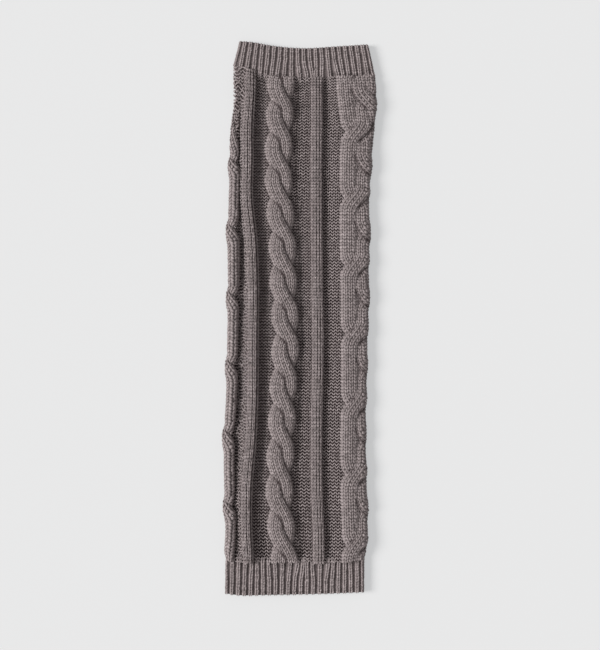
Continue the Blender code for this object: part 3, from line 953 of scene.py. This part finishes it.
def on_cuff(ends, turn, share, out):
    """Points on a cuff: turn counts its ribs, from the left fold over the face and back."""
    turn, share, out = np.broadcast_arrays(turn, share, out)
    (lower, lower_sides), (upper, upper_sides) = ends
    left = lower_sides[0] + (upper_sides[0] - lower_sides[0]) * share + FOLD_RADIUS
    right = lower_sides[1] + (upper_sides[1] - lower_sides[1]) * share - FOLD_RADIUS
    turn = turn % CUFF_RIBS
    fold = math.pi * FOLD_RADIUS
    flat = right - left
    front = turn / FACE_RIBS * (flat + 2 * fold)
    back = (turn - FACE_RIBS) / (CUFF_RIBS - FACE_RIBS) * flat
    on_left, on_back = front < fold, turn >= FACE_RIBS
    on_right = (front > fold + flat) & ~on_back
    angle = np.where(on_left, math.pi - front / FOLD_RADIUS, (front - fold - flat) / FOLD_RADIUS)
    radius = FOLD_RADIUS + out
    x = np.where(on_left, left - radius * np.sin(angle), left + front - fold)
    x = np.where(on_right, right + radius * np.sin(angle), x)
    x = np.where(on_back, right - back, x)
    z = np.where(on_left | on_right, FOLD_RADIUS + radius * np.cos(angle), FACE + out)
    z = pressed(np.where(on_back, -out, z))
    flat_x, flat_share = x.reshape(-1), share.reshape(-1)
    low = edge_height(lower, lower_sides, flat_x)
    high = edge_height(upper, upper_sides, flat_x)
    height = (low * (1 - flat_share) + high * flat_share).reshape(x.shape)
    return np.stack([x + X_SHIFT, height + Y_SHIFT, z], axis=-1) * MM


def cuff_ribs(name, ends, join):
    """The legs of a cuff's knit wales, from its lower edge to its upper one. At the join, which is
    0 below and 1 above, they run on into the body."""
    first, last = (-CUFF_BEYOND, CUFF_COURSES) if join == 0 else (0, CUFF_COURSES + CUFF_BEYOND)
    ribs, courses = np.arange(CUFF_RIBS) + 0.5, np.arange(first, last) + 0.5
    rib, course, side = (a.reshape(-1, 1) for a in np.meshgrid(ribs, courses, (-1, 1)))
    random = np.random.default_rng(len(name))
    loose = random.normal(0, 1, (2, rib.size, 1))
    start = random.uniform(-CUFF_START, CUFF_START, CUFF_RIBS)[rib.astype(int)]
    bend = np.convolve(random.normal(0, 1, CUFF_RIBS + 2), SWAY_TOGETHER, "valid")
    bend = CUFF_SWAY * bend[rib.astype(int)]
    bend *= ease(rib / SWAY_RIBS) * ease((FACE_RIBS - rib) / SWAY_RIBS)

    def path(share):
        up = 2 * share - 1
        at = course + up * CUFF_LEG_REACH
        from_join = np.abs(at - join * CUFF_COURSES) / CUFF_COURSES
        sway = bend * (1 - ease(from_join * SWAY_SHARE))
        beside = side * (CUFF_LEG_SPREAD + CUFF_LEG_LEAN * up)
        across = rib + beside + LOOSE_ACROSS * loose[1] + sway
        beyond = np.maximum(np.maximum(-course, course - CUFF_COURSES) + start, 0)
        out = CUFF_LEG_OUT - LEG_TUCK * up - LEG_BOW * up**2 + LOOSE_OUT * loose[0]
        return across * CUFF_PITCH, at * CUFF_COURSE, 0.0, out - CUFF_SINK * beyond

    def surface(across, along, relief, out):
        return on_cuff(ends, across / CUFF_PITCH, along / CUFF_COURSE / CUFF_COURSES, out)

    return lengths_of_yarn(
        name, CUFF_LEG_SIDES, CUFF_LEG_RINGS, rib.size, path, surface, CUFF_LEG, 1.0, True
    )


def cuff(name, ends, join):
    """A cuff: the cloth behind its cords, in place of the plain one, and the cords."""

    def wall(turn, share, layer):
        groove = 0.5 + 0.5 * np.cos(2 * math.pi * turn * CUFF_RIBS)
        outside = on_cuff(ends, turn * CUFF_RIBS, share, CUFF_CLOTH_OUT - CUFF_GROOVE * groove)
        inside = on_cuff(ends, turn * CUFF_RIBS, share, -WALL)
        # Painted shade in the grooves between the cords.
        painted_shade = np.where(layer > 0, 0, CUFF_SHADES[join] * groove)
        return np.where(layer[:, None] > 0, inside, outside), painted_shade

    around = CUFF_RIBS * CUFF_STEPS_A_RIB
    cloth = tube_wall(f"{name}_cloth", around, CUFF_ROWS, CUFF_LINING_ROWS, wall)
    cloth = finished(cloth, SHADED_CLOTH)
    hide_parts(name)
    ribs = finished(cuff_ribs(f"{name}_ribs", ends, join), YARN)


cuff("upper_cuff", UPPER_ENDS, 0)
cuff("lower_cuff", LOWER_ENDS, 1)


# ---------------------------------------------------------------------------------------------
# The table it lies on, plain and pale, with the soft light of a window to its left and of the
# room round it, and the camera, which looks straight down.
# ---------------------------------------------------------------------------------------------

FLOOR_SIZE = 6
FLOOR_GREY = 0.33
FLOOR_GLOW = (0.965, 0.985, 1.0)
FLOOR_GLOW_STRENGTH = 0.45
WINDOW_ELEVATION = math.radians(33)
WINDOW_WIDTH = math.radians(24)
WINDOW_COLOUR = (1.0, 0.985, 0.97)
WINDOW_STRENGTH = 4.0
ROOM_COLOUR = (1.0, 0.965, 0.955)
ROOM_STRENGTH = 0.4
PIXEL = 0.9074 * MM
PHOTO_WIDTH = 600
CAMERA_SPOT = (0.0013, -0.0054)
CAMERA_ROLL = math.radians(0.885)
LENS = 85.0
SENSOR = 36.0

bpy.ops.mesh.primitive_plane_add(size=FLOOR_SIZE, location=(0, 0, 0))
floor = bpy.context.object
floor.name = "floor"
plain = bpy.data.materials.new("plain_floor")
plain.use_nodes = True
paint = plain.node_tree.nodes["Principled BSDF"]
paint.inputs["Base Color"].default_value = (FLOOR_GREY, FLOOR_GREY, FLOOR_GREY, 1)
paint.inputs["Emission Color"].default_value = (*FLOOR_GLOW, 1)
paint.inputs["Emission Strength"].default_value = FLOOR_GLOW_STRENGTH
paint.inputs["Roughness"].default_value = 0.9
floor.data.materials.append(plain)

sun = bpy.data.lights.new("window", "SUN")
sun.energy = WINDOW_STRENGTH
sun.angle = WINDOW_WIDTH
sun.color = WINDOW_COLOUR
window = bpy.data.objects.new("window", sun)
window.rotation_euler = (0, WINDOW_ELEVATION - math.pi / 2, 0)
bpy.context.collection.objects.link(window)
world = bpy.data.worlds.new("studio")
world.use_nodes = True
room = world.node_tree.nodes["Background"]
room.inputs["Color"].default_value = (*ROOM_COLOUR, 1)
room.inputs["Strength"].default_value = ROOM_STRENGTH
bpy.context.scene.world = world
bpy.context.scene.view_settings.view_transform = "Standard"

camera = bpy.data.cameras.new("camera")
camera.sensor_fit = "HORIZONTAL"
camera.sensor_width = SENSOR
camera.lens = LENS
camera.clip_end = 20
view = bpy.data.objects.new("camera", camera)
view.location = (*CAMERA_SPOT, PHOTO_WIDTH * PIXEL * LENS / SENSOR)
view.rotation_euler = (0, 0, CAMERA_ROLL)
bpy.context.collection.objects.link(view)
bpy.context.scene.camera = view
